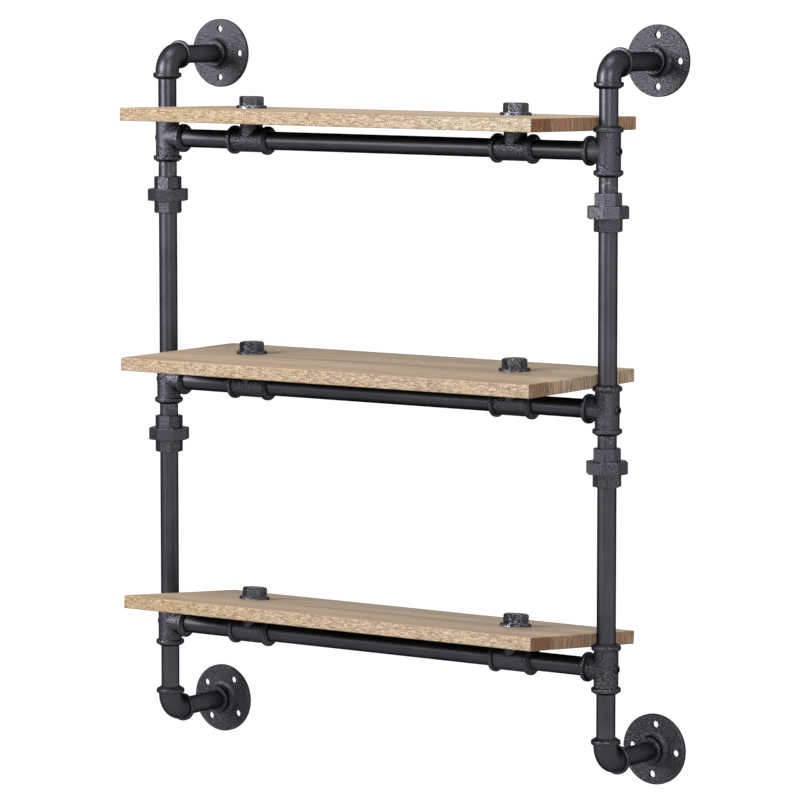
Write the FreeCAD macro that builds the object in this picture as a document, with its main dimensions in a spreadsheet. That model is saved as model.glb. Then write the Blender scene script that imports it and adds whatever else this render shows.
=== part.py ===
import FreeCAD, Part
import Sketcher

import math
import os
import re

# Wall-hung shelving unit: three boards on a frame of half-inch black iron pipe and banded fittings.
# Millimetres. X runs along the boards, Y towards the wall, Z up. The origin lies in the wall plane,
# midway between the four wall flanges.

SIZES = {
    # frame
    "UprightSpacing": 604.0,
    "WallStandoff": 105.0,
    "UpperSpacing": 282.5,
    "LowerSpacing": 286.0,
    "TopRise": 96.0,
    "BottomDrop": 105.0,
    # pipe
    "PipeOD": 21.3,
    "PipeWall": 2.75,
    "ThreadFit": 0.1,
    # banded fittings
    "BodyOD": 27.5,
    "NeckOD": 26.5,
    "BandRise": 2.75,
    "BandWidth": 7.5,
    "BandRound": 1.8,
    "LipTaper": 2.75,
    "LipEdge": 1.5,
    "CentreToFace": 28.0,
    "SocketDepth": 13.0,
    "PassageBore": 17.0,
    "JunctionFillet": 2.5,
    "ElbowBend": 20.0,
    # wall flanges
    "FlangeOD": 80.0,
    "FlangeThickness": 4.5,
    "FlangeEdge": 1.0,
    "HubOD": 28.5,
    "HubLipOD": 31.0,
    "HubLipWidth": 3.5,
    "HubLipBevel": 0.9,
    "HubHeight": 16.5,
    "HubFillet": 6.0,
    "BoltCircle": 57.0,
    "BoltHole": 8.0,
    # unions
    "UpperUnionDrop": 45.0,
    "LowerUnionDrop": 42.0,
    "UnionEndFlats": 29.5,
    "UnionNutFlats": 44.0,
    "UnionHeadHeight": 13.8,
    "UnionNutHeight": 14.0,
    "UnionTailHeight": 13.9,
    "UnionThreadOD": 36.0,
    "UnionTubeOD": 26.0,
    "UnionLip": 3.5,
    "UnionCollar": 3.0,
    "UnionSeatWidth": 3.0,
    "UnionRunning": 0.4,
    "UnionChamfer": 0.7,
    # boards
    "BoardEndClearance": 6.5,
    "BoardDepth": 214.0,
    "BoardFront": 120.0,
    "BoardThickness": 15.0,
    "BoardRound": 1.2,
    "PlugInset": 98.0,
    "StripWidth": 38.5,
    "StripSetBack": 1.5,
    "BandRecess": 6.5,
    "RecessClearance": 0.5,
    "PlugHoleClearance": 0.4,
    # the crossbars come up tight a little out of level: front edge up, in degrees
    "TopTiltAngle": 1.2,
    "MiddleTiltAngle": -0.3,
    "BottomTiltAngle": 5.2,
    # plugs
    "PlugFlats": 25.0,
    "PlugHexHeight": 10.5,
    "PlugFlangeOD": 35.0,
    "PlugFlange": 3.5,
    "PlugFlangeEdge": 0.8,
    "PlugReach": 12.0,
    "PlugCore": 13.0,
    "PlugCrown": 4.0,
    "PlugChamfer": 1.6,
    "PlugCornerRound": 0.8,
    # bar screws and the nuts they pull on
    "ScrewOD": 6.0,
    "ScrewHead": 10.5,
    "ScrewHeadHeight": 3.3,
    "ScrewDome": 2.6,
    "ScrewKey": 4.0,
    "ScrewKeyDepth": 2.0,
    "ScrewSpare": 3.0,
    "ScrewClearance": 0.3,
    "ScrewFlat": 1.2,
    "EndNutLength": 10.0,
    "EndNutFit": 0.05,
}

# how far each piece stops round on its thread, in degrees
FLANGE_TURN = {"top_left": "0", "top_right": "0", "bottom_left": "36", "bottom_right": "4"}
UNION_HEAD_TURN = {"left": "14", "right": "-8"}
UNION_NUT_TURN = {"left": "-20", "right": "-6"}
UNION_TAIL_TURN = {"left": "18", "right": "18"}
PLUG_TURN = "-2"

SHELVES = ("top", "middle", "bottom")
SIDES = ("left", "right")
BAYS = (("upper", "top", "middle"), ("lower", "middle", "bottom"))  # bay, shelf above, shelf below

doc = FreeCAD.newDocument("PipeShelf")


def make_sheet():
    """The sheet of driving sizes: a name beside each value, and the name as the value's alias."""
    sheet = doc.addObject("Spreadsheet::Sheet", "Sizes")
    for row, (name, value) in enumerate(SIZES.items(), start=1):
        sheet.set(f"A{row}", name)
        sheet.set(f"B{row}", str(value))
        sheet.setAlias(f"B{row}", name)
    doc.recompute()
    return sheet


sheet = make_sheet()


def bound(text):
    """A formula over the sheet: every capitalised word becomes a reference to its cell."""
    return re.sub(r"\b([A-Z]\w*)", r"Sizes.\1", text)


def value(text):
    """What a formula over the sheet comes to now."""
    return float(sheet.evalExpression(bound(text)))


# ---------------------------------------------------------------- places along the frame

HALF_HEIGHT = "(TopRise + UpperSpacing + LowerSpacing + BottomDrop) / 2"
BAR_Z = {
    "top": f"({HALF_HEIGHT} - TopRise)",
    "middle": f"({HALF_HEIGHT} - TopRise - UpperSpacing)",
    "bottom": f"(BottomDrop - {HALF_HEIGHT})",
}
SPACING = {"upper": "UpperSpacing", "lower": "LowerSpacing"}
UNION_DROP = {"upper": "UpperUnionDrop", "lower": "LowerUnionDrop"}
TILT = {"top": "TopTiltAngle", "middle": "MiddleTiltAngle", "bottom": "BottomTiltAngle"}
SIDE_X = {"left": "-UprightSpacing / 2", "right": "UprightSpacing / 2"}
INWARD = {"left": 1, "right": -1}
UPRIGHT_Y = "-WallStandoff"

SHOULDER = "(CentreToFace - SocketDepth)"  # from a fitting's centre to the end of the pipe in it
SOCKET = "(PipeOD / 2 + ThreadFit)"
SOCKET_OUTLINE = [(SHOULDER, SOCKET), ("CentreToFace", SOCKET), ("CentreToFace", "0")]
UNION_HEIGHT = "(UnionTailHeight + UnionNutHeight + UnionHeadHeight + 2 * UnionRunning)"
BAND = "(BodyOD / 2 + BandRise)"
BOARD_END = f"(UprightSpacing / 2 - {BAND} - BoardEndClearance)"  # from a board's middle to its end
SUPPORT_X = f"({BOARD_END} - PlugInset)"
BOARD_UNDERSIDE = "(CentreToFace - BandRecess)"
BOARD_TOP = f"({BOARD_UNDERSIDE} + BoardThickness)"


# ---------------------------------------------------------------- sketching helpers


def new_body(label):
    body = doc.addObject("PartDesign::Body", label)
    body.Label = label
    return body


def new_sketch(body, name, plane, offset=None):
    """A sketch on one of the body's own origin planes, moved off it along its normal if asked."""
    sketch = body.newObject("Sketcher::SketchObject", name)
    role = f"{plane}_Plane"
    support = [face for face in body.Origin.OriginFeatures if face.Role == role][0]
    sketch.AttachmentSupport = [(support, "")]
    sketch.MapMode = "FlatFace"
    if offset:
        sketch.setExpression("AttachmentOffset.Base.z", bound(offset))
    return sketch


def outline(sketch, points):
    """A closed outline of straight edges; each corner is held by two formulas over the sheet."""
    spots = [FreeCAD.Vector(value(x), value(y), 0) for x, y in points]
    count = len(points)
    for i, spot in enumerate(spots):
        sketch.addGeometry(Part.LineSegment(spot, spots[(i + 1) % count]))
    for i in range(count):
        sketch.addConstraint(Sketcher.Constraint("Coincident", i, 2, (i + 1) % count, 1))
    for i, (x, y) in enumerate(points):
        across = sketch.addConstraint(Sketcher.Constraint("DistanceX", -1, 1, i, 1, spots[i].x))
        sketch.setExpression(f"Constraints[{across}]", bound(x))
        along = sketch.addConstraint(Sketcher.Constraint("DistanceY", -1, 1, i, 1, spots[i].y))
        sketch.setExpression(f"Constraints[{along}]", bound(y))


def ring(sketch, *radii, centre=("0", "0")):
    """Circles about one centre, each radius held by a formula over the sheet."""
    x, y = centre
    middle = FreeCAD.Vector(value(x), value(y), 0)
    for radius in radii:
        i = sketch.addGeometry(Part.Circle(middle, FreeCAD.Vector(0, 0, 1), value(radius)))
        size = sketch.addConstraint(Sketcher.Constraint("Radius", i, value(radius)))
        sketch.setExpression(f"Constraints[{size}]", bound(radius))
        across = sketch.addConstraint(Sketcher.Constraint("DistanceX", -1, 1, i, 3, middle.x))
        sketch.setExpression(f"Constraints[{across}]", bound(x))
        along = sketch.addConstraint(Sketcher.Constraint("DistanceY", -1, 1, i, 3, middle.y))
        sketch.setExpression(f"Constraints[{along}]", bound(y))


def flats(sketch, sides, across, turn="0"):
    """A regular outline of so many sides, measured across its flats and turned by an angle."""
    half = 180 / sides
    corner = f"{across} / 2 / cos({half})"
    angles = [f"{half + 2 * half * i} + {turn}" for i in range(sides)]
    outline(sketch, [(f"{corner} * cos({a})", f"{corner} * sin({a})") for a in angles])


def swap(points):
    """Points given as (along, radius), turned for a sketch whose vertical axis is the turning one."""
    return [(radius, along) for along, radius in points]


def turned(body, name, points, axis="V", plane="XZ", cut=False):
    """A full turn of the outline (along, radius) about the sketch's V or H axis."""
    sketch = new_sketch(body, f"{name}Profile", plane)
    outline(sketch, swap(points) if axis == "V" else points)
    kind = "PartDesign::Groove" if cut else "PartDesign::Revolution"
    feature = body.newObject(kind, name)
    feature.Profile = sketch
    feature.ReferenceAxis = (sketch, [f"{axis}_Axis"])
    feature.Angle = 360
    sketch.Visibility = False
    return feature


def padded(body, name, sketch, length):
    feature = body.newObject("PartDesign::Pad", name)
    feature.Profile = sketch
    feature.setExpression("Length", bound(length))
    sketch.Visibility = False
    return feature


def pocketed(body, name, sketch, depth, reverse=False):
    feature = body.newObject("PartDesign::Pocket", name)
    feature.Profile = sketch
    feature.Reversed = reverse
    feature.setExpression("Length", bound(depth))
    sketch.Visibility = False
    return feature


SNUG = 1e-6  # sizes closer than this are the same


def same(first, second):
    """True for two sizes that agree."""
    return abs(first - second) < SNUG


def edge_names(feature, wanted):
    """The names of the feature's edges that the test picks out."""
    doc.recompute()
    return [f"Edge{i}" for i, edge in enumerate(feature.Shape.Edges, start=1) if wanted(edge)]


def dressed(body, name, kind, base, wanted, size):
    """A fillet or chamfer on the edges of the base feature that the test picks out."""
    feature = body.newObject(f"PartDesign::{kind}", name)
    feature.Base = (base, edge_names(base, wanted))
    feature.setExpression("Radius" if kind == "Fillet" else "Size", bound(size))
    return feature


def place(body, x="0", y="0", z="0", axis=(0, 0, 1), angle="0"):
    """Stand a body at formulas over the sheet, turned about an axis by a formula in degrees."""
    turn = FreeCAD.Rotation(FreeCAD.Vector(*axis), value(angle))
    body.Placement = FreeCAD.Placement(FreeCAD.Vector(value(x), value(y), value(z)), turn)
    for name, text in (("x", x), ("y", y), ("z", z)):
        body.setExpression(f"Placement.Base.{name}", bound(text))
    return body


def place_on_bar(body, shelf, x, height="0"):
    """Stand a body on a crossbar at a height above its axis, tilted with the shelf it carries."""
    tilt = TILT[shelf]
    y = f"{UPRIGHT_Y} + sin({tilt}) * {height}"
    z = f"{BAR_Z[shelf]} + cos({tilt}) * {height}"
    return place(body, x, y, z, axis=(1, 0, 0), angle=f"-{tilt}")


# ---------------------------------------------------------------- pipe


def pipe(label, length, plane):
    """A length of pipe that runs off the chosen plane along its normal, faced square at both ends."""
    body = new_body(label)
    section = new_sketch(body, "Section", plane)
    ring(section, "PipeOD / 2", "PipeOD / 2 - PipeWall")
    padded(body, "Tube", section, length)
    return body


# ---------------------------------------------------------------- banded fittings


def mouth(root):
    """Half outline of a fitting's arm with its band, from the root out to the coned lip and face."""
    face = "CentreToFace"
    shoulder = f"{face} - BandWidth"
    lip = f"{face} - LipTaper"
    return [(shoulder, root), (shoulder, BAND), (lip, BAND), (face, f"{SOCKET} + LipEdge"), (face, "0")]


def opposite(points):
    """The same half outline on the other side of the centre, in reverse order."""
    return [(f"-({along})", radius) for along, radius in reversed(points)]


def is_junction(edge):
    """True for the curve where the run meets the branch: neither straight nor round."""
    return not isinstance(edge.Curve, (Part.Line, Part.Circle))


def is_band_rim(edge):
    return isinstance(edge.Curve, Part.Circle) and same(edge.Curve.Radius, value(BAND))


def bead(body, casting):
    """Rounds both rims of every band, at its shoulder and where the lip's cone begins."""
    dressed(body, "Beads", "Fillet", casting, is_band_rim, "BandRound")


def tee(label, run, branch, screwed=False):
    """A banded tee: a run open at both ends, a branch off its middle, a socket in each mouth.

    A screwed tee has a faced seat and a hole opposite the branch for the screw that pulls the bar in.
    """
    body = new_body(label)
    half = mouth("BodyOD / 2")
    turned(body, "Run", opposite(half) + half, axis=run)
    arm = [("0", "0"), ("0", "NeckOD / 2")] + mouth("NeckOD / 2")
    joined = turned(body, "Branch", arm, axis=branch)
    bead(body, dressed(body, "Junction", "Fillet", joined, is_junction, "JunctionFillet"))
    socket = [(SHOULDER, "PassageBore / 2")] + SOCKET_OUTLINE
    turned(body, "RunBore", opposite(socket) + socket, axis=run, cut=True)
    turned(body, "BranchBore", [("0", "0"), ("0", "PassageBore / 2")] + socket, axis=branch, cut=True)
    if screwed:
        seat = "-(BodyOD / 2 - ScrewFlat)"
        hole = "ScrewOD / 2 + ScrewClearance"
        spot = "ScrewHead / 2 + ScrewClearance"
        outside = "-BodyOD / 2 - ScrewFlat"
        steps = [("0", "0"), (outside, "0"), (outside, spot), (seat, spot), (seat, hole), ("0", hole)]
        turned(body, "ScrewSeat", steps, axis=branch, cut=True)
    return body


def elbow(label):
    """A banded elbow from a mouth that faces down to one that faces the wall."""
    body = new_body(label)
    bend = new_sketch(body, "BendSection", "XY", offset="-ElbowBend")
    ring(bend, "BodyOD / 2")
    route = new_sketch(body, "BendRoute", "YZ")
    quarter_arc(route, "ElbowBend")
    outer = body.newObject("PartDesign::AdditivePipe", "Bend")
    outer.Profile = bend
    outer.Spine = (route, ["Edge1"])
    for sketch in (bend, route):
        sketch.Visibility = False
    arm = [("ElbowBend", "0"), ("ElbowBend", "BodyOD / 2")] + mouth("BodyOD / 2")
    turned(body, "WallMouth", arm, axis="H", plane="YZ")
    bead(body, turned(body, "LowerMouth", opposite(arm), axis="V", plane="YZ"))
    passage = new_sketch(body, "PassageSection", "XY", offset="-ElbowBend")
    ring(passage, "PassageBore / 2")
    inner = body.newObject("PartDesign::SubtractivePipe", "Passage")
    inner.Profile = passage
    inner.Spine = (route, ["Edge1"])
    passage.Visibility = False
    socket = [(SHOULDER, "0")] + SOCKET_OUTLINE
    turned(body, "WallSocket", socket, axis="H", plane="YZ", cut=True)
    turned(body, "LowerSocket", opposite(socket), axis="V", plane="YZ", cut=True)
    return body


def quarter_arc(sketch, radius):
    """A quarter arc from the sketch's first axis to its second, held by its ends and its radius."""
    centre = FreeCAD.Vector(value(radius), -value(radius), 0)
    circle = Part.Circle(centre, FreeCAD.Vector(0, 0, 1), value(radius))
    sketch.addGeometry(Part.ArcOfCircle(circle, math.pi / 2, math.pi))
    for kind, end, text, axis in (("DistanceX", 1, radius, -1), ("DistanceY", 2, f"-{radius}", -2)):
        i = sketch.addConstraint(Sketcher.Constraint(kind, -1, 1, 0, end, value(text)))
        sketch.setExpression(f"Constraints[{i}]", bound(text))
        sketch.addConstraint(Sketcher.Constraint("PointOnObject", 0, end, axis))
    i = sketch.addConstraint(Sketcher.Constraint("Radius", 0, value(radius)))
    sketch.setExpression(f"Constraints[{i}]", bound(radius))


# ---------------------------------------------------------------- wall flanges


def wall_flange(label, turn):
    """A floor flange: round plate on the wall, flared hub with a lip, and four screw holes."""
    body = new_body(label)
    plate = "-FlangeThickness"
    lip = "-HubHeight + HubLipWidth"
    profile = [
        ("0", "0"),
        ("0", "FlangeOD / 2"),
        (f"{plate} + FlangeEdge", "FlangeOD / 2"),
        (plate, "FlangeOD / 2 - FlangeEdge"),
        (plate, "HubOD / 2"),
        (lip, "HubOD / 2"),
        (f"{lip} - HubLipBevel", "HubLipOD / 2"),
        ("-HubHeight + HubLipBevel", "HubLipOD / 2"),
        ("-HubHeight", "HubLipOD / 2 - HubLipBevel"),
        ("-HubHeight", "0"),
    ]
    blank = turned(body, "Casting", profile, axis="H", plane="YZ")

    def is_hub_root(edge):
        round_edge = isinstance(edge.Curve, Part.Circle)
        at_plate = same(edge.BoundBox.YMax, -value("FlangeThickness"))
        return round_edge and at_plate and same(edge.Curve.Radius, value("HubOD / 2"))

    dressed(body, "HubFlare", "Fillet", blank, is_hub_root, "HubFillet")
    bore = [("-HubHeight", "0"), ("-HubHeight", SOCKET), ("-HubHeight + SocketDepth", SOCKET)]
    bore += [("-HubHeight + SocketDepth", "PassageBore / 2"), ("0", "PassageBore / 2"), ("0", "0")]
    turned(body, "HubBore", bore, axis="H", plane="YZ", cut=True)
    hole = new_sketch(body, "HoleSketch", "XZ")
    ring(hole, "BoltHole / 2", centre=(f"BoltCircle / 2 * sin({turn})", f"BoltCircle / 2 * cos({turn})"))
    drilled = pocketed(body, "ScrewHole", hole, "FlangeThickness")
    drilled.Type = "ThroughAll"
    drilled.Midplane = True
    holes = body.newObject("PartDesign::PolarPattern", "ScrewHoles")
    holes.Originals = [drilled]
    holes.Axis = (hole, ["N_Axis"])
    holes.Angle = 360
    holes.Occurrences = 4
    body.Tip = holes
    return body


# ---------------------------------------------------------------- unions

NUT_FOOT = "(UnionTailHeight + UnionRunning)"
LIP_TOP = f"({NUT_FOOT} + UnionLip)"
COLLAR_TOP = f"({LIP_TOP} + UnionCollar)"
NUT_TOP = f"({NUT_FOOT} + UnionNutHeight)"
HEAD_FOOT = f"({NUT_TOP} + UnionRunning)"
SEAT_FOOT_R = "(PassageBore / 2 + UnionSeatWidth)"


def is_rim(height):
    """Picks the straight edges that lie flat at a height."""

    def test(edge):
        level = same(edge.BoundBox.ZMin, height) and same(edge.BoundBox.ZMax, height)
        return level and isinstance(edge.Curve, Part.Line)

    return test


def union_tail(label, turn):
    """The lower end: eight flats, a tube with a collar for the nut to lift, and a coned seat."""
    body = new_body(label)
    grip = new_sketch(body, "Flats", "XY")
    flats(grip, 8, "UnionEndFlats", turn)
    block = padded(body, "Grip", grip, "UnionTailHeight")
    dressed(body, "GripChamfer", "Chamfer", block, is_rim(0.0), "UnionChamfer")
    tube = [
        ("UnionTailHeight / 2", "0"),
        ("UnionTailHeight / 2", "UnionTubeOD / 2"),
        (LIP_TOP, "UnionTubeOD / 2"),
        (LIP_TOP, "UnionThreadOD / 2 - UnionRunning"),
        (COLLAR_TOP, "UnionThreadOD / 2 - UnionRunning"),
        (COLLAR_TOP, SEAT_FOOT_R),
        (f"{COLLAR_TOP} + UnionSeatWidth", "PassageBore / 2"),
        (f"{COLLAR_TOP} + UnionSeatWidth", "0"),
    ]
    turned(body, "TubeAndCollar", tube)
    bore = [("0", "0"), ("0", SOCKET), ("SocketDepth", SOCKET), ("SocketDepth", "PassageBore / 2")]
    bore += [(f"{COLLAR_TOP} + UnionSeatWidth", "PassageBore / 2"), (f"{COLLAR_TOP} + UnionSeatWidth", "0")]
    turned(body, "Bore", bore, cut=True)
    return body


def union_head(label, turn):
    """The upper end: eight flats over a threaded stub, hollowed to a cone that sits on the tail."""
    body = new_body(label)
    grip = new_sketch(body, "Flats", "XY", offset=HEAD_FOOT)
    flats(grip, 8, "UnionEndFlats", turn)
    block = padded(body, "Grip", grip, "UnionHeadHeight")
    dressed(body, "GripChamfer", "Chamfer", block, is_rim(value(UNION_HEIGHT)), "UnionChamfer")
    middle = f"{HEAD_FOOT} + UnionHeadHeight / 2"
    foot = f"{COLLAR_TOP} + UnionRunning"
    stub = [(foot, "0"), (foot, "UnionThreadOD / 2"), (NUT_TOP, "UnionThreadOD / 2")]
    stub += [(NUT_TOP, "UnionEndFlats / 2"), (middle, "UnionEndFlats / 2"), (middle, "0")]
    turned(body, "ThreadedStub", stub)
    bore = [
        (foot, "0"),
        (foot, f"{SEAT_FOOT_R} - UnionRunning"),
        (f"{COLLAR_TOP} + UnionSeatWidth", "PassageBore / 2"),
        (f"{UNION_HEIGHT} - SocketDepth", "PassageBore / 2"),
        (f"{UNION_HEIGHT} - SocketDepth", SOCKET),
        (UNION_HEIGHT, SOCKET),
        (UNION_HEIGHT, "0"),
    ]
    turned(body, "Bore", bore, cut=True)
    return body


def union_nut(label, turn):
    """The nut that draws the two ends together: eight flats, a bored barrel and a lip below."""
    body = new_body(label)
    grip = new_sketch(body, "Flats", "XY", offset=NUT_FOOT)
    flats(grip, 8, "UnionNutFlats", turn)
    block = padded(body, "Grip", grip, "UnionNutHeight")
    top = dressed(body, "TopChamfer", "Chamfer", block, is_rim(value(NUT_TOP)), "UnionChamfer")
    dressed(body, "FootChamfer", "Chamfer", top, is_rim(value(NUT_FOOT)), "UnionChamfer")
    lip_hole = "UnionTubeOD / 2 + UnionRunning"
    barrel = "UnionThreadOD / 2 + ThreadFit"
    bore = [(NUT_FOOT, "0"), (NUT_FOOT, lip_hole), (LIP_TOP, lip_hole)]
    bore += [(LIP_TOP, barrel), (NUT_TOP, barrel), (NUT_TOP, "0")]
    turned(body, "Bore", bore, cut=True)
    return body


# ---------------------------------------------------------------- boards and plugs


def board(label, short_strip=False):
    """A glued-up board with two plug holes, each opened from below to take a tee's band.

    A short front strip stops a little before the board's right end.
    """
    body = new_body(label)
    plan = new_sketch(body, "Plan", "XY", offset=BOARD_UNDERSIDE)
    left, front, back = f"-{BOARD_END}", "-BoardFront", "BoardDepth - BoardFront"
    outline(plan, [(left, front), (BOARD_END, front), (BOARD_END, back), (left, back)])
    slab = padded(body, "Slab", plan, "BoardThickness")
    dressed(body, "EasedEdges", "Fillet", slab, lambda edge: True, "BoardRound")
    holes = new_sketch(body, "PlugHoles", "XY", offset=BOARD_UNDERSIDE)
    recess = new_sketch(body, "BandRecesses", "XY", offset=BOARD_UNDERSIDE)
    for x in (f"-{SUPPORT_X}", SUPPORT_X):
        ring(holes, "PipeOD / 2 + PlugHoleClearance", centre=(x, "0"))
        ring(recess, f"{BAND} + RecessClearance", centre=(x, "0"))
    through = pocketed(body, "PlugHole", holes, "BoardThickness", reverse=True)
    through.Type = "ThroughAll"
    pocketed(body, "Recess", recess, "BandRecess", reverse=True)
    if short_strip:
        end = new_sketch(body, "StripEnd", "XY", offset=BOARD_UNDERSIDE)
        short, beyond = f"{BOARD_END} - StripSetBack", f"{BOARD_END} + StripSetBack"
        before, seam = f"{front} - StripSetBack", f"{front} + StripWidth"
        outline(end, [(short, before), (beyond, before), (beyond, seam), (short, seam)])
        cut = pocketed(body, "ShortStrip", end, "BoardThickness", reverse=True)
        cut.Type = "ThroughAll"
    return body


def shelf_plug(label):
    """A flanged hexagon plug, cored from below; its origin is on the board's top face."""
    body = new_body(label)
    top = "PlugFlange + PlugHexHeight"
    reach = "(BoardThickness - BandRecess + PlugReach)"
    stem = [
        (f"-{reach}", "0"),
        (f"-{reach}", "PipeOD / 2"),
        ("0", "PipeOD / 2"),
        ("0", "PlugFlangeOD / 2"),
        ("PlugFlange - PlugFlangeEdge", "PlugFlangeOD / 2"),
        ("PlugFlange", "PlugFlangeOD / 2 - PlugFlangeEdge"),
        ("PlugFlange", "0"),
    ]
    turned(body, "StemAndFlange", stem)
    hexagon = new_sketch(body, "Flats", "XY")
    flats(hexagon, 6, "PlugFlats", PLUG_TURN)
    head = padded(body, "Hexagon", hexagon, top)

    def is_corner(edge):
        return same(edge.BoundBox.ZMin, value("PlugFlange")) and same(edge.BoundBox.ZMax, value(top))

    dressed(body, "RoundedCorners", "Fillet", head, is_corner, "PlugCornerRound")
    flat = "(PlugFlats / 2 - PlugChamfer / 4)"
    outside = "(PlugFlats / 2 / cos(30) + PlugChamfer)"
    fall = f"({outside} - {flat}) * tan(30)"
    turned(body, "CornerChamfer", [(top, flat), (top, outside), (f"{top} - {fall}", outside)], cut=True)
    ceiling = f"{top} - PlugCrown"
    core = [(f"-{reach}", "0"), (f"-{reach}", "PlugCore / 2"), (ceiling, "PlugCore / 2"), (ceiling, "0")]
    turned(body, "Core", core, cut=True)
    return body


# ---------------------------------------------------------------- bar screws and end nuts

SCREW_SEAT = "(BodyOD / 2 - ScrewFlat)"  # from the tee's centre to the head's underside


def bar_screw(label):
    """A button-head screw on the branch's axis, from the tee's outer side into the bar's end nut."""
    body = new_body(label)
    under = f"-{SCREW_SEAT}"
    tip = f"{SHOULDER} + EndNutLength + ScrewSpare"
    crown = f"{under} - ScrewHeadHeight"
    steps = [(crown, "0"), (crown, "ScrewHead / 2"), (under, "ScrewHead / 2")]
    steps += [(under, "ScrewOD / 2"), (tip, "ScrewOD / 2"), (tip, "0")]
    blank = turned(body, "Turned", steps, axis="H")

    def is_crown_rim(edge):
        return isinstance(edge.Curve, Part.Circle) and same(edge.BoundBox.XMax, value(crown))

    dressed(body, "Dome", "Fillet", blank, is_crown_rim, "ScrewDome")
    key = new_sketch(body, "Key", "YZ", offset=crown)
    flats(key, 6, "ScrewKey")
    pocketed(body, "KeySocket", key, "ScrewKeyDepth", reverse=True)
    return body


def end_nut(label):
    """The round nut fixed in the end of a bar, for the screw to pull on."""
    body = new_body(label)
    hole, rim = "ScrewOD / 2 + ThreadFit", "PipeOD / 2 - PipeWall - EndNutFit"
    near, far = SHOULDER, f"{SHOULDER} + EndNutLength"
    turned(body, "Barrel", [(near, hole), (near, rim), (far, rim), (far, hole)], axis="H")
    return body


def group(label, bodies):
    """One sub-part of several alike pieces that stay separate solids."""
    compound = doc.addObject("Part::Compound", label)
    compound.Label = label
    compound.Links = bodies
    return compound


# ---------------------------------------------------------------- assembly


parts = []

# wall legs: flange, arm, elbow and riser at each corner
arm_length = f"WallStandoff - (HubHeight - SocketDepth) - {SHOULDER}"
for level, rise, up in (("top", "TopRise", 1), ("bottom", "BottomDrop", -1)):
    flange_z = f"{up} * {HALF_HEIGHT}"
    for side in SIDES:
        corner = f"{level}_{side}"
        flange = wall_flange(f"wall_flange_{corner}", FLANGE_TURN[corner])
        parts.append(place(flange, SIDE_X[side], "0", flange_z))
        arm = pipe(f"wall_arm_{corner}", arm_length, "XZ")
        parts.append(place(arm, SIDE_X[side], "-(HubHeight - SocketDepth)", flange_z))
        bend = elbow(f"elbow_{corner}")
        turn = str(90 - 90 * up)
        parts.append(place(bend, SIDE_X[side], UPRIGHT_Y, flange_z, axis=(0, 1, 0), angle=turn))
        riser = pipe(f"riser_pipe_{corner}", f"{rise} - 2 * {SHOULDER}", "XY")
        low_end = f"{BAR_Z['top']} + {SHOULDER}" if up > 0 else f"{flange_z} + {SHOULDER}"
        parts.append(place(riser, SIDE_X[side], UPRIGHT_Y, low_end))

# uprights: a tee at each shelf, and a nipple, a union and a long pipe between them
nuts = []
for side in SIDES:
    x = SIDE_X[side]
    for shelf in SHELVES:
        fitting = tee(f"upright_tee_{shelf}_{side}", run="V", branch="H", screwed=True)
        parts.append(place(fitting, x, UPRIGHT_Y, BAR_Z[shelf], angle=str(90 - 90 * INWARD[side])))
    for bay, above, below in BAYS:
        drop = UNION_DROP[bay]
        union_foot = f"{BAR_Z[above]} - {drop} - {UNION_HEIGHT}"
        nipple = pipe(f"union_nipple_{bay}_{side}", f"{drop} - {SHOULDER} + SocketDepth", "XY")
        parts.append(place(nipple, x, UPRIGHT_Y, f"{union_foot} + {UNION_HEIGHT} - SocketDepth"))
        head = union_head(f"union_head_{bay}_{side}", UNION_HEAD_TURN[side])
        parts.append(place(head, x, UPRIGHT_Y, union_foot))
        nut = union_nut(f"union_nut_{bay}_{side}", UNION_NUT_TURN[side])
        nuts.append(place(nut, x, UPRIGHT_Y, union_foot))
        tail = union_tail(f"union_tail_{bay}_{side}", UNION_TAIL_TURN[side])
        parts.append(place(tail, x, UPRIGHT_Y, union_foot))
        run = f"{SPACING[bay]} - {drop} - {UNION_HEIGHT} + SocketDepth - {SHOULDER}"
        long_pipe = pipe(f"upright_pipe_{bay}_{side}", run, "XY")
        parts.append(place(long_pipe, x, UPRIGHT_Y, f"{BAR_Z[below]} + {SHOULDER}"))
parts.append(group("union_nuts", nuts))

# crossbars: two end bars, two support tees and a centre bar, with the board and its plugs on top
plugs, screws, end_nuts = [], [], []
end_bar = f"UprightSpacing / 2 - {SUPPORT_X} - 2 * {SHOULDER}"
centre_bar = f"2 * ({SUPPORT_X} - {SHOULDER})"
for shelf in SHELVES:
    z = BAR_Z[shelf]
    left_end = pipe(f"crossbar_{shelf}_left_end", end_bar, "YZ")
    parts.append(place(left_end, f"-UprightSpacing / 2 + {SHOULDER}", UPRIGHT_Y, z))
    centre = pipe(f"crossbar_{shelf}_centre", centre_bar, "YZ")
    parts.append(place(centre, f"-{SUPPORT_X} + {SHOULDER}", UPRIGHT_Y, z))
    right_end = pipe(f"crossbar_{shelf}_right_end", end_bar, "YZ")
    parts.append(place(right_end, f"{SUPPORT_X} + {SHOULDER}", UPRIGHT_Y, z))
    for side in SIDES:
        seat_x = f"{-INWARD[side]} * {SUPPORT_X}"
        support = tee(f"support_tee_{shelf}_{side}", run="H", branch="V")
        parts.append(place_on_bar(support, shelf, seat_x))
        plugs.append(place_on_bar(shelf_plug(f"shelf_plug_{shelf}_{side}"), shelf, seat_x, BOARD_TOP))
        turn = str(90 - 90 * INWARD[side])
        screw = bar_screw(f"bar_screw_{shelf}_{side}")
        screws.append(place(screw, SIDE_X[side], UPRIGHT_Y, z, angle=turn))
        nut = end_nut(f"bar_end_nut_{shelf}_{side}")
        end_nuts.append(place(nut, SIDE_X[side], UPRIGHT_Y, z, angle=turn))
    slab = board(f"shelf_board_{shelf}", short_strip=shelf == "middle")
    parts.append(place_on_bar(slab, shelf, "0"))
parts.append(group("shelf_plugs", plugs))
parts.append(group("tee_screws", screws))
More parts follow.
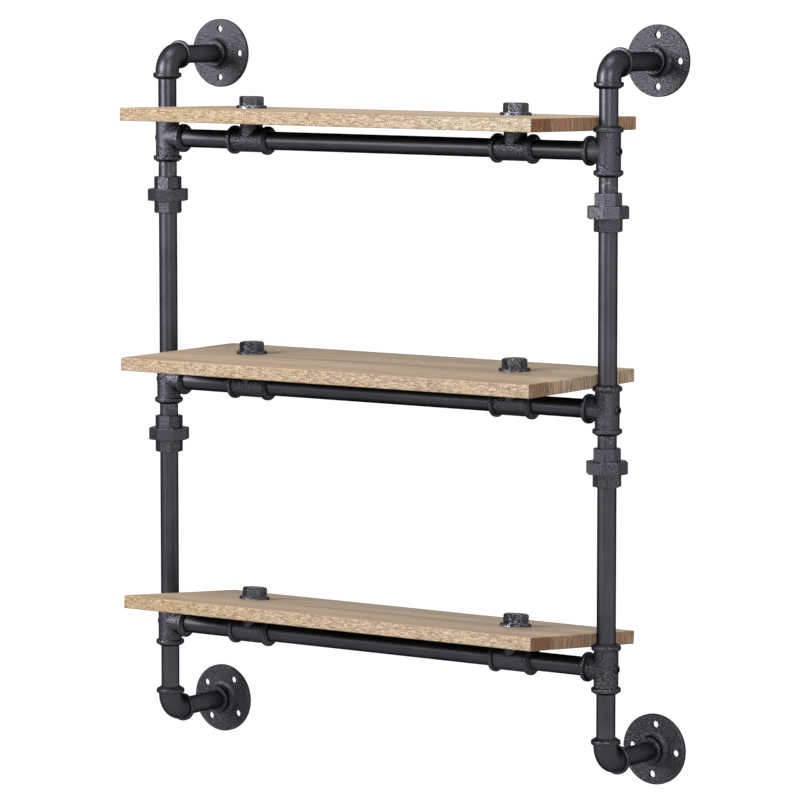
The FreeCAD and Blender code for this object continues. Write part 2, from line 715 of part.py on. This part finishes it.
parts.append(group("bar_end_nuts", end_nuts))


# ---------------------------------------------------------------- checks and files

doc.recompute()
failed = [item.Label for item in doc.Objects if {"Invalid", "Error"} & set(item.State)]
if failed:
    raise RuntimeError(f"failed objects: {failed}")
for item in parts:
    if item.Shape.isNull() or not item.Shape.isValid():
        raise RuntimeError(f"{item.Label} has no sound shape")

os.makedirs("parts", exist_ok=True)
for item in parts:
    item.Shape.exportStep(f"parts/{item.Label}.step")
print(f"{len(parts)} sub-parts written")
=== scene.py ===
import math

import bpy
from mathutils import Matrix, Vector

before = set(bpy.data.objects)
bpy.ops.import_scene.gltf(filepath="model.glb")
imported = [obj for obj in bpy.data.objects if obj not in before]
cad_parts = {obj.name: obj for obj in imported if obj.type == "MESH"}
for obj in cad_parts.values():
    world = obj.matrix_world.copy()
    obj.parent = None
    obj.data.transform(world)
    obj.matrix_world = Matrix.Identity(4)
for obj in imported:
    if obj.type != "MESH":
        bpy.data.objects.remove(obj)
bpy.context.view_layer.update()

# ---------------------------------------------------------------- the unit's own sizes, in metres

UPRIGHT_Y = -0.105
BAR_Z = {"top": 0.28875, "middle": 0.00625, "bottom": -0.27975}
TILT = {"top": 1.2, "middle": -0.3, "bottom": 5.2}  # front edge up, in degrees
BOARD_FRONT = 0.12  # from a crossbar's axis forward to the front edge of its board
STRIP_WIDTH = 0.0385
FINGER_JOINT = (0.147, 0.167)  # ends of the short block let into the middle board's front strip
HALF_BOARD = 0.26  # from the middle of a board to where the painted shade on its sawn edge, or its paling, is in full

# ---------------------------------------------------------------- how the three boards differ

PAINTED_SHADE_LEFT = {"top": 0.6, "middle": 0.0, "bottom": 1.0}  # how far painted shade darkens the sawn edge to the left
PALER_RIGHT = {"top": 1.0, "middle": 0.2, "bottom": 0.2}  # and pales to the right
END_TINT = {"top": (0.78, 0.68, 0.62), "middle": (0.98, 1.09, 1.15), "bottom": (0.81, 0.76, 0.73)}
STRIP_SEED = {"top": 21.9, "middle": 43.8, "bottom": 43.8}  # where a board's strips draw their luck
GRAIN_SHIFT = 9.0  # the furthest that luck slides a strip along the grain

# ---------------------------------------------------------------- node helpers


class Graph:
    """One material's nodes. Every helper returns an output socket, and takes numbers or sockets."""

    def __init__(self, name):
        self.material = bpy.data.materials.new(name)
        self.material.use_nodes = True
        self.tree = self.material.node_tree
        self.shader = self.tree.nodes["Principled BSDF"]

    def feed(self, socket, value):
        if isinstance(value, bpy.types.NodeSocket):
            self.tree.links.new(value, socket)
        else:
            socket.default_value = value

    def node(self, kind, inputs=None, output=0, **settings):
        made = self.tree.nodes.new(kind)
        for key, value in settings.items():
            setattr(made, key, value)
        for key, value in (inputs or {}).items():
            self.feed(made.inputs[key], value)
        return made.outputs[output]

    def surface(self, **values):
        """Sets the shader's sockets: base_color=... feeds "Base Color"."""
        names = {name.lower().replace(" ", "_"): name for name in self.shader.inputs.keys()}
        for key, value in values.items():
            self.feed(self.shader.inputs[names[key]], value)
        return self.material

    def place(self, scale=(1, 1, 1), centre=(0, 0, 0), turn=0.0):
        """The object's coordinates, taken from a centre, turned about X by degrees, and scaled."""
        spot = self.node("ShaderNodeTexCoord", output="Object")
        angles = (math.radians(turn), 0, 0)
        inputs = {"Vector": spot, "Location": centre, "Rotation": angles}
        local = self.node("ShaderNodeMapping", inputs, vector_type="TEXTURE")
        return self.scaled(local, scale)

    def scaled(self, vector, scale):
        return self.node("ShaderNodeVectorMath", {0: vector, 1: scale}, operation="MULTIPLY")

    def split(self, vector):
        """The x, y and z of a vector."""
        made = self.tree.nodes.new("ShaderNodeSeparateXYZ")
        self.feed(made.inputs[0], vector)
        return tuple(made.outputs)

    def noise(self, vector, scale=1.0, detail=3.0, roughness=0.5, distortion=0.0):
        inputs = {"Vector": vector, "Scale": scale, "Detail": detail, "Roughness": roughness}
        inputs["Distortion"] = distortion
        return self.node("ShaderNodeTexNoise", inputs)

    def ramp(self, factor, *stops):
        """A colour ramp through stops given as (position, colour)."""
        made = self.tree.nodes.new("ShaderNodeValToRGB")
        self.feed(made.inputs[0], factor)
        elements = made.color_ramp.elements
        while len(elements) < len(stops):
            elements.new(1.0)
        for element, (position, colour) in zip(elements, stops):
            element.position = position
            element.color = (*colour, 1)
        return made.outputs[0]

    def mask(self, factor, none, full):
        """0 where the factor is at none or beyond, 1 where it is at full, and smooth between."""
        inputs = {"Value": factor, "From Min": none, "From Max": full}
        return self.node("ShaderNodeMapRange", inputs, interpolation_type="SMOOTHSTEP")

    def span(self, factor, low, high):
        """A 0 to 1 factor laid out from low to high."""
        inputs = {"Value": factor, "To Min": low, "To Max": high}
        return self.node("ShaderNodeMapRange", inputs)

    def blend(self, amount, first, second, how="MIX"):
        inputs = {0: amount, 6: first, 7: second}
        return self.node("ShaderNodeMix", inputs, output=2, data_type="RGBA", blend_type=how)

    def painted(self, base, colour, amount):
        """The base, covered with a colour by an amount."""
        return self.blend(amount, base, (*colour, 1))

    def tinted(self, base, colour, amount=1.0):
        """The base, multiplied by a colour by an amount."""
        return self.blend(amount, base, (*colour, 1), how="MULTIPLY")

    def calc(self, operation, first, second=0.0):
        return self.node("ShaderNodeMath", {0: first, 1: second}, operation=operation)

    def plus(self, first, second):
        return self.calc("ADD", first, second)

    def minus(self, first, second):
        return self.calc("SUBTRACT", first, second)

    def times(self, first, second):
        return self.calc("MULTIPLY", first, second)

    def edges(self, radius):
        """1 along sharp outer and inner edges, fading to 0 at a radius from them."""
        rounded = self.node("ShaderNodeBevel", {"Radius": radius}, samples=6)
        flat = self.node("ShaderNodeNewGeometry", output="Normal")
        inputs = {0: rounded, 1: flat}
        agree = self.node("ShaderNodeVectorMath", inputs, output="Value", operation="DOT_PRODUCT")
        return self.mask(agree, 0.995, 0.86)

    def bump(self, height, strength, distance, under=None):
        inputs = {"Height": height, "Strength": strength, "Distance": distance}
        if under is not None:
            inputs["Normal"] = under
        return self.node("ShaderNodeBump", inputs)


# ---------------------------------------------------------------- metal

COLD = (0.97, 0.985, 1.16)  # the blue cast of black lacquer
DULL_RIM = (0.2, 0.2, 0.21, 1)  # it mirrors less than bare metal at a glancing angle
FINE, LONG = 900.0, 14.0  # draw lines on a pipe: their scale across it and along it
BARE_STEEL = (0.5, 0.5, 0.5)
EDGE_WEAR_GLINT_WIDTH = 0.0009
EDGE_WEAR_GLINT_SHINE = 2.4  # an edge lightened by wear and by a painted highlight, against the lightest of the casting


def iron(level):
    """The lacquer's grey at a level."""
    return tuple(level * part for part in COLD)


def pipe_steel(name, along, shine_and_painted_light, rough, bitten=0.0):
    """Black lacquered pipe at a given level: faint draw lines along it and, where bitten, a wrench's
    bright marks. The level also holds painted shade or painted light where one pipe differs from the
    others.
    """
    g = Graph(name)
    stretch = [FINE, FINE, FINE]
    stretch[along] = LONG
    lines = g.noise(g.place(scale=stretch), detail=4, roughness=0.6)
    clouds = g.noise(g.place(), scale=22, detail=3)
    pits = g.noise(g.place(), scale=1500, detail=2)
    tone = g.ramp(clouds, (0.3, iron(0.095)), (0.7, iron(0.135)))
    drawn = g.ramp(lines, (0.35, iron(0.080)), (0.65, iron(0.160)))
    base = g.tinted(g.blend(0.25, tone, drawn), (shine_and_painted_light, shine_and_painted_light, shine_and_painted_light))
    if bitten:
        gripped = g.mask(g.noise(g.place(), scale=70, detail=1), 0.52, 0.60)
        teeth = g.mask(g.noise(g.place(scale=(320, 320, 620)), detail=2), 0.52, 0.60)
        base = g.painted(base, BARE_STEEL, g.times(g.times(gripped, teeth), bitten))
    gloss = g.span(g.plus(g.times(clouds, 0.6), g.times(lines, 0.4)), *rough)
    normal = g.bump(pits, 0.10, 0.0002, under=g.bump(lines, 0.08, 0.0002))
    g.surface(base_color=base, roughness=gloss, normal=normal)
    return g.surface(metallic=1.0, specular_tint=DULL_RIM)


def cast_iron(name, dark, light, grain, depth, rough, wear_and_glint):
    """Sand-cast iron under black lacquer: grains of two sizes, cloudy gloss, and edges lightened partly
    by wear and partly by a painted highlight.
    """
    g = Graph(name)
    coarse = g.noise(g.place(), scale=grain, detail=3, roughness=0.6)
    cells = {"Vector": g.place(), "Scale": grain * 1.7}
    sand = g.node("ShaderNodeTexVoronoi", cells, output="Distance")
    clouds = g.noise(g.place(), scale=30, detail=3)
    base = g.blend(g.mask(coarse, 0.38, 0.66), (*iron(dark), 1), (*iron(light), 1))
    base = g.painted(base, iron((dark + light) / 2), g.mask(clouds, 0.35, 0.75))
    # painted highlight: sharp edges lightened in patches, partly as wear and partly standing in for
    # glints
    edge_wear_and_glint = g.times(g.edges(EDGE_WEAR_GLINT_WIDTH), g.mask(coarse, 0.3, 0.6))
    base = g.painted(base, iron(light * EDGE_WEAR_GLINT_SHINE), g.times(edge_wear_and_glint, wear_and_glint))
    gloss = g.span(g.plus(g.times(clouds, 0.5), g.times(coarse, 0.5)), *rough)
    normal = g.bump(coarse, depth, 0.0006, under=g.bump(sand, depth * 0.5, 0.0003))
    g.surface(base_color=base, roughness=gloss, normal=normal)
    return g.surface(metallic=0.9, specular_tint=DULL_RIM)


# ---------------------------------------------------------------- wood


def planed_face(g, bands, fibres, clouds, luck, in_front):
    """Top and underside: long soft bands of grain and fine fibres, each strip in its own tone."""
    face = g.ramp(
        bands,
        (0.30, (0.150, 0.098, 0.060)),
        (0.43, (0.275, 0.200, 0.132)),
        (0.57, (0.420, 0.325, 0.228)),
        (0.74, (0.300, 0.240, 0.175)),
    )
    fine = g.ramp(fibres, (0.36, (0.14, 0.096, 0.06)), (0.64, (0.50, 0.40, 0.29)))
    face = g.blend(0.35, face, fine)
    face = g.painted(face, (0.29, 0.23, 0.165), g.times(g.mask(clouds, 0.4, 0.7), 0.30))
    strip_tone = g.ramp(
        luck,
        (0.0, (0.84, 0.83, 0.82)),
        (0.5, (0.97, 0.95, 0.93)),
        (1.0, (1.04, 1.03, 1.01)),
    )
    face = g.blend(0.9, face, strip_tone, how="MULTIPLY")
    return g.tinted(face, (0.76, 0.74, 0.68), in_front)


def sawn_edge(g, curls, patches, x, shelf):
    """Front and back edges: pale torn fibres, in faintly pink and yellow patches."""
    sawn = g.ramp(
        curls,
        (0.39, (0.085, 0.052, 0.029)),
        (0.47, (0.200, 0.145, 0.092)),
        (0.53, (0.275, 0.212, 0.146)),
        (0.61, (0.460, 0.384, 0.276)),
    )
    sawn = g.tinted(sawn, (1.03, 0.965, 0.96), g.mask(patches, 0.50, 0.62))
    sawn = g.tinted(sawn, (0.99, 0.99, 0.93), g.mask(patches, 0.48, 0.38))
    # painted shade: the sawn edge darker and browner towards the left
    to_left = g.times(g.mask(x, 0.0, -HALF_BOARD), PAINTED_SHADE_LEFT[shelf])
    sawn = g.tinted(sawn, (0.93, 0.88, 0.79), to_left)
    to_right = g.times(g.mask(x, 0.0, HALF_BOARD), PALER_RIGHT[shelf])
    return g.tinted(sawn, (1.08, 1.20, 1.28), to_right)


def finger_joint(g, sawn, x):
    """The short block in the middle board's front edge: a shade darker, with a fine line at each end."""
    first, last = FINGER_JOINT
    half = (last - first) / 2
    from_middle = g.calc("ABSOLUTE", g.minus(x, (first + last) / 2))
    sawn = g.tinted(sawn, (0.94, 0.94, 0.97), g.calc("LESS_THAN", from_middle, half))
    from_end = g.calc("ABSOLUTE", g.minus(from_middle, half))
    return g.painted(sawn, (0.07, 0.045, 0.028), g.times(g.mask(from_end, 0.0009, 0.0003), 0.35))


def end_grain(g, shifted, in_front, shelf):
    """The boards' ends: upright streaks of year rings and warm patches, darkest in the front strip."""
    rings = g.noise(g.scaled(shifted, (40, 640, 60)), detail=3, roughness=0.6, distortion=0.3)
    ends = g.ramp(
        rings,
        (0.34, (0.15, 0.088, 0.050)),
        (0.50, (0.36, 0.242, 0.155)),
        (0.66, (0.60, 0.44, 0.305)),
    )
    heart = g.noise(g.scaled(shifted, (20, 45, 45)), detail=2)
    ends = g.painted(ends, (0.42, 0.24, 0.135), g.times(g.mask(heart, 0.45, 0.65), 0.45))
    ends = g.tinted(ends, (0.62, 0.52, 0.46), in_front)
    return g.tinted(ends, END_TINT[shelf])


def weathered_board(name, shelf):
    """Glued-up softwood: planed faces in strips, sawn front and back edges, end grain at the ends."""
    g = Graph(name)
    spot = g.place(centre=(0.0, UPRIGHT_Y, BAR_Z[shelf]), turn=-TILT[shelf])
    x, y, z = g.split(spot)
    strips_back = g.calc("DIVIDE", g.plus(y, BOARD_FRONT), STRIP_WIDTH)
    strip = g.calc("FLOOR", strips_back)
    in_front = g.calc("LESS_THAN", strip, 0.5)
    seed = g.plus(strip, STRIP_SEED[shelf])
    luck = g.node("ShaderNodeTexWhiteNoise", {"W": seed}, output="Value", noise_dimensions="1D")
    slid = g.plus(x, g.times(luck, GRAIN_SHIFT))
    shifted = g.node("ShaderNodeCombineXYZ", {0: slid, 1: y, 2: z})

    bands = g.noise(g.scaled(shifted, (1.8, 24, 24)), detail=5, roughness=0.6, distortion=0.6)
    fibres = g.noise(g.scaled(shifted, (14, 900, 900)), detail=3, roughness=0.6)
    clouds = g.noise(g.scaled(shifted, (5, 14, 14)), detail=2)
    face = planed_face(g, bands, fibres, clouds, luck, in_front)

    streaks = g.noise(g.scaled(spot, (150, 720, 860)), detail=2, roughness=0.6, distortion=0.7)
    torn = g.noise(g.scaled(spot, (760, 1050, 1150)), detail=2, roughness=0.6)
    curls = g.plus(g.times(streaks, 0.4), g.times(torn, 0.6))
    patches = g.noise(g.scaled(spot, (45, 80, 80)), detail=2)
    sawn = sawn_edge(g, curls, patches, x, shelf)
    if shelf == "middle":
        sawn = finger_joint(g, sawn, x)

    facing = g.split(g.node("ShaderNodeNewGeometry", output="Normal"))
    is_end = g.mask(g.calc("ABSOLUTE", facing[0]), 0.45, 0.9)
    is_sawn = g.mask(g.calc("ABSOLUTE", facing[1]), 0.45, 0.9)
    base = g.blend(is_sawn, face, sawn)
    base = g.blend(is_end, base, end_grain(g, shifted, in_front, shelf))

    # the glue lines between strips, clear behind the two front ones and faint behind the others
    across = g.calc("FRACT", strips_back)
    from_line = g.calc("MINIMUM", across, g.minus(1.0, across))
    seam = g.times(g.mask(from_line, 0.018, 0.0), g.minus(1.0, is_sawn))
    seam_tone = g.span(g.calc("LESS_THAN", strip, 1.5), 0.15, 0.9)
    base = g.painted(base, (0.15, 0.10, 0.065), g.times(seam, seam_tone))

    height = g.plus(g.times(fibres, 0.5), g.times(curls, is_sawn))
    normal = g.bump(g.minus(height, g.times(seam, 0.6)), 0.35, 0.0005)
    rough = g.span(bands, 0.5, 0.72)
    return g.surface(base_color=base, roughness=rough, normal=normal, specular_ior_level=0.12)


# ---------------------------------------------------------------- finishes on the frame's nodes

X, Y, Z = 0, 1, 2

# painted shade on the crossbars, darker for the boards' shadow on them; painted light on the wall arms,
# lighter than the uprights
PIPE_X = pipe_steel("crossbar_steel_painted_shade", X, shine_and_painted_light=0.32, rough=(0.36, 0.46))
PIPE_Y = pipe_steel("wall_arm_steel_painted_light", Y, shine_and_painted_light=0.48, rough=(0.32, 0.44))
PIPE_Z = pipe_steel("upright_steel", Z, shine_and_painted_light=0.42, rough=(0.25, 0.37))
NIPPLE = pipe_steel("nipple_steel", Z, shine_and_painted_light=0.42, rough=(0.25, 0.37), bitten=0.2)
FITTING = cast_iron("fitting_casting", 0.013, 0.080, grain=620, depth=1.0, rough=(0.16, 0.40), wear_and_glint=1.0)
ELBOW = cast_iron("elbow_casting", 0.024, 0.052, grain=700, depth=0.30, rough=(0.24, 0.42), wear_and_glint=1.0)
FLANGE = cast_iron("flange_casting", 0.010, 0.056, grain=700, depth=1.0, rough=(0.16, 0.38), wear_and_glint=0.8)
UNION = cast_iron("union_casting", 0.029, 0.076, grain=650, depth=0.45, rough=(0.19, 0.40), wear_and_glint=0.8)
PLUG = cast_iron("plug_casting", 0.018, 0.145, grain=300, depth=0.90, rough=(0.18, 0.32), wear_and_glint=1.0)
SCREW = cast_iron("screw_black", 0.015, 0.030, grain=900, depth=0.10, rough=(0.22, 0.36), wear_and_glint=0.5)

# the first of these that a node's name starts with gives its finish
FINISHES = (
    ("crossbar", PIPE_X),
    ("wall_arm", PIPE_Y),
    ("riser_pipe", PIPE_Z),
    ("union_nipple", NIPPLE),
    ("upright_pipe", PIPE_Z),
    ("upright_tee", FITTING),
    ("support_tee", FITTING),
    ("elbow", ELBOW),
    ("wall_flange", FLANGE),
    ("union", UNION),
    ("shelf_plugs", PLUG),
    ("tee_screws", SCREW),
    ("bar_end_nuts", SCREW),
)
BOARDS = {shelf: weathered_board(f"board_wood_{shelf}", shelf) for shelf in BAR_Z}


def finish_for(node):
    if node.startswith("shelf_board_"):
        return BOARDS[node.removeprefix("shelf_board_")]
    for start, material in FINISHES:
        if node.startswith(start):
            return material
    raise ValueError(node)


for node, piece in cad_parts.items():
    for slot in piece.material_slots:
        slot.material = finish_for(node)

# ---------------------------------------------------------------- camera

VIEW_AZIMUTH = 34.658
VIEW_DOWN = 5.881
VIEW_DISTANCE = 5.0519
VIEW_LENS = 200.938
AIM_ACROSS = 0.021855
AIM_UP = -0.000484


def add_camera():
    azimuth, down = math.radians(VIEW_AZIMUTH), math.radians(VIEW_DOWN)
    level = math.cos(down)
    forward = Vector((-math.sin(azimuth) * level, math.cos(azimuth) * level, -math.sin(down)))
    across = Vector((math.cos(azimuth), math.sin(azimuth), 0))
    aim = across * AIM_ACROSS + Vector((0, UPRIGHT_Y, AIM_UP))
    camera = bpy.data.objects.new("camera", bpy.data.cameras.new("camera"))
    bpy.context.collection.objects.link(camera)
    camera.location = aim - forward * VIEW_DISTANCE
    camera.rotation_mode = "QUATERNION"
    camera.rotation_quaternion = forward.to_track_quat("-Z", "Y")
    camera.data.lens = VIEW_LENS
    camera.data.clip_end = 1000
    bpy.context.scene.camera = camera


# ---------------------------------------------------------------- light and floor

LIGHT_AIM = Vector((0, UPRIGHT_Y, 0))
WHITE = (1, 1, 1, 1)
ROOM_COLOUR = (0.94, 0.96, 1, 1)
ROOM_STRENGTH = 0.3
FLOOR_Z = -1.2
FLOOR_SIZE = 500
FLOOR_COLOUR = (0.16, 0.16, 0.16, 1)
FLOOR_GLOW = 0.95  # the rest of the way to white is the lamps' own light on the floor


def add_softbox(name, azimuth, height, distance, width, tall, power):
    """A softbox that faces the unit from an azimuth, in degrees from straight in front."""
    angle = math.radians(azimuth)
    light = bpy.data.lights.new(name, "AREA")
    light.shape = "RECTANGLE"
    light.size = width
    light.size_y = tall
    light.energy = power
    lamp = bpy.data.objects.new(name, light)
    bpy.context.collection.objects.link(lamp)
    offset = Vector((math.sin(angle) * distance, -math.cos(angle) * distance, height))
    lamp.location = LIGHT_AIM + offset
    lamp.rotation_mode = "QUATERNION"
    lamp.rotation_quaternion = (-offset).to_track_quat("-Z", "Y")


def shows_paper(tree):
    """1 for a ray that shows the white paper: from the camera, off gloss, or through glass."""
    path = tree.nodes.new("ShaderNodeLightPath")
    shown = path.outputs["Is Camera Ray"]
    for other in ("Is Glossy Ray", "Is Transmission Ray"):
        larger = tree.nodes.new("ShaderNodeMath")
        larger.operation = "MAXIMUM"
        tree.links.new(shown, larger.inputs[0])
        tree.links.new(path.outputs[other], larger.inputs[1])
        shown = larger.outputs[0]
    return shown


def add_world():
    """A studio that lights the unit as an even grey room, and looks like white paper past it."""
    world = bpy.data.worlds.new("studio")
    bpy.context.scene.world = world
    world.use_nodes = True
    tree = world.node_tree
    room = tree.nodes["Background"]
    room.inputs["Color"].default_value = ROOM_COLOUR
    room.inputs["Strength"].default_value = ROOM_STRENGTH
    paper = tree.nodes.new("ShaderNodeBackground")
    paper.inputs["Color"].default_value = WHITE
    choice = tree.nodes.new("ShaderNodeMixShader")
    tree.links.new(shows_paper(tree), choice.inputs[0])
    tree.links.new(room.outputs[0], choice.inputs[1])
    tree.links.new(paper.outputs[0], choice.inputs[2])
    tree.links.new(choice.outputs[0], tree.nodes["World Output"].inputs[0])


def add_floor():
    """A plain floor well below the unit, that looks as white as the paper behind it."""
    bpy.ops.object.select_all(action="DESELECT")
    bpy.ops.mesh.primitive_plane_add(size=FLOOR_SIZE, location=(0, 0, FLOOR_Z))
    floor = bpy.context.object
    floor.name = "floor"
    g = Graph("floor_paper")
    g.surface(base_color=FLOOR_COLOUR, roughness=0.9)
    g.surface(emission_color=WHITE, emission_strength=g.times(shows_paper(g.tree), FLOOR_GLOW))
    floor.data.materials.append(g.material)


add_camera()
add_world()
add_floor()
add_softbox("key_light", azimuth=-28, height=1.12, distance=3.0, width=1.3, tall=1.6, power=183)
add_softbox("fill_light", azimuth=44, height=1.35, distance=3.6, width=1.1, tall=1.7, power=95)
add_softbox("top_light", azimuth=10, height=3.4, distance=0.9, width=2.0, tall=1.2, power=72)
add_softbox("side_sheet", azimuth=100, height=0.2, distance=3.2, width=3.2, tall=2.4, power=12)

scene = bpy.context.scene
scene.view_settings.view_transform = "Standard"
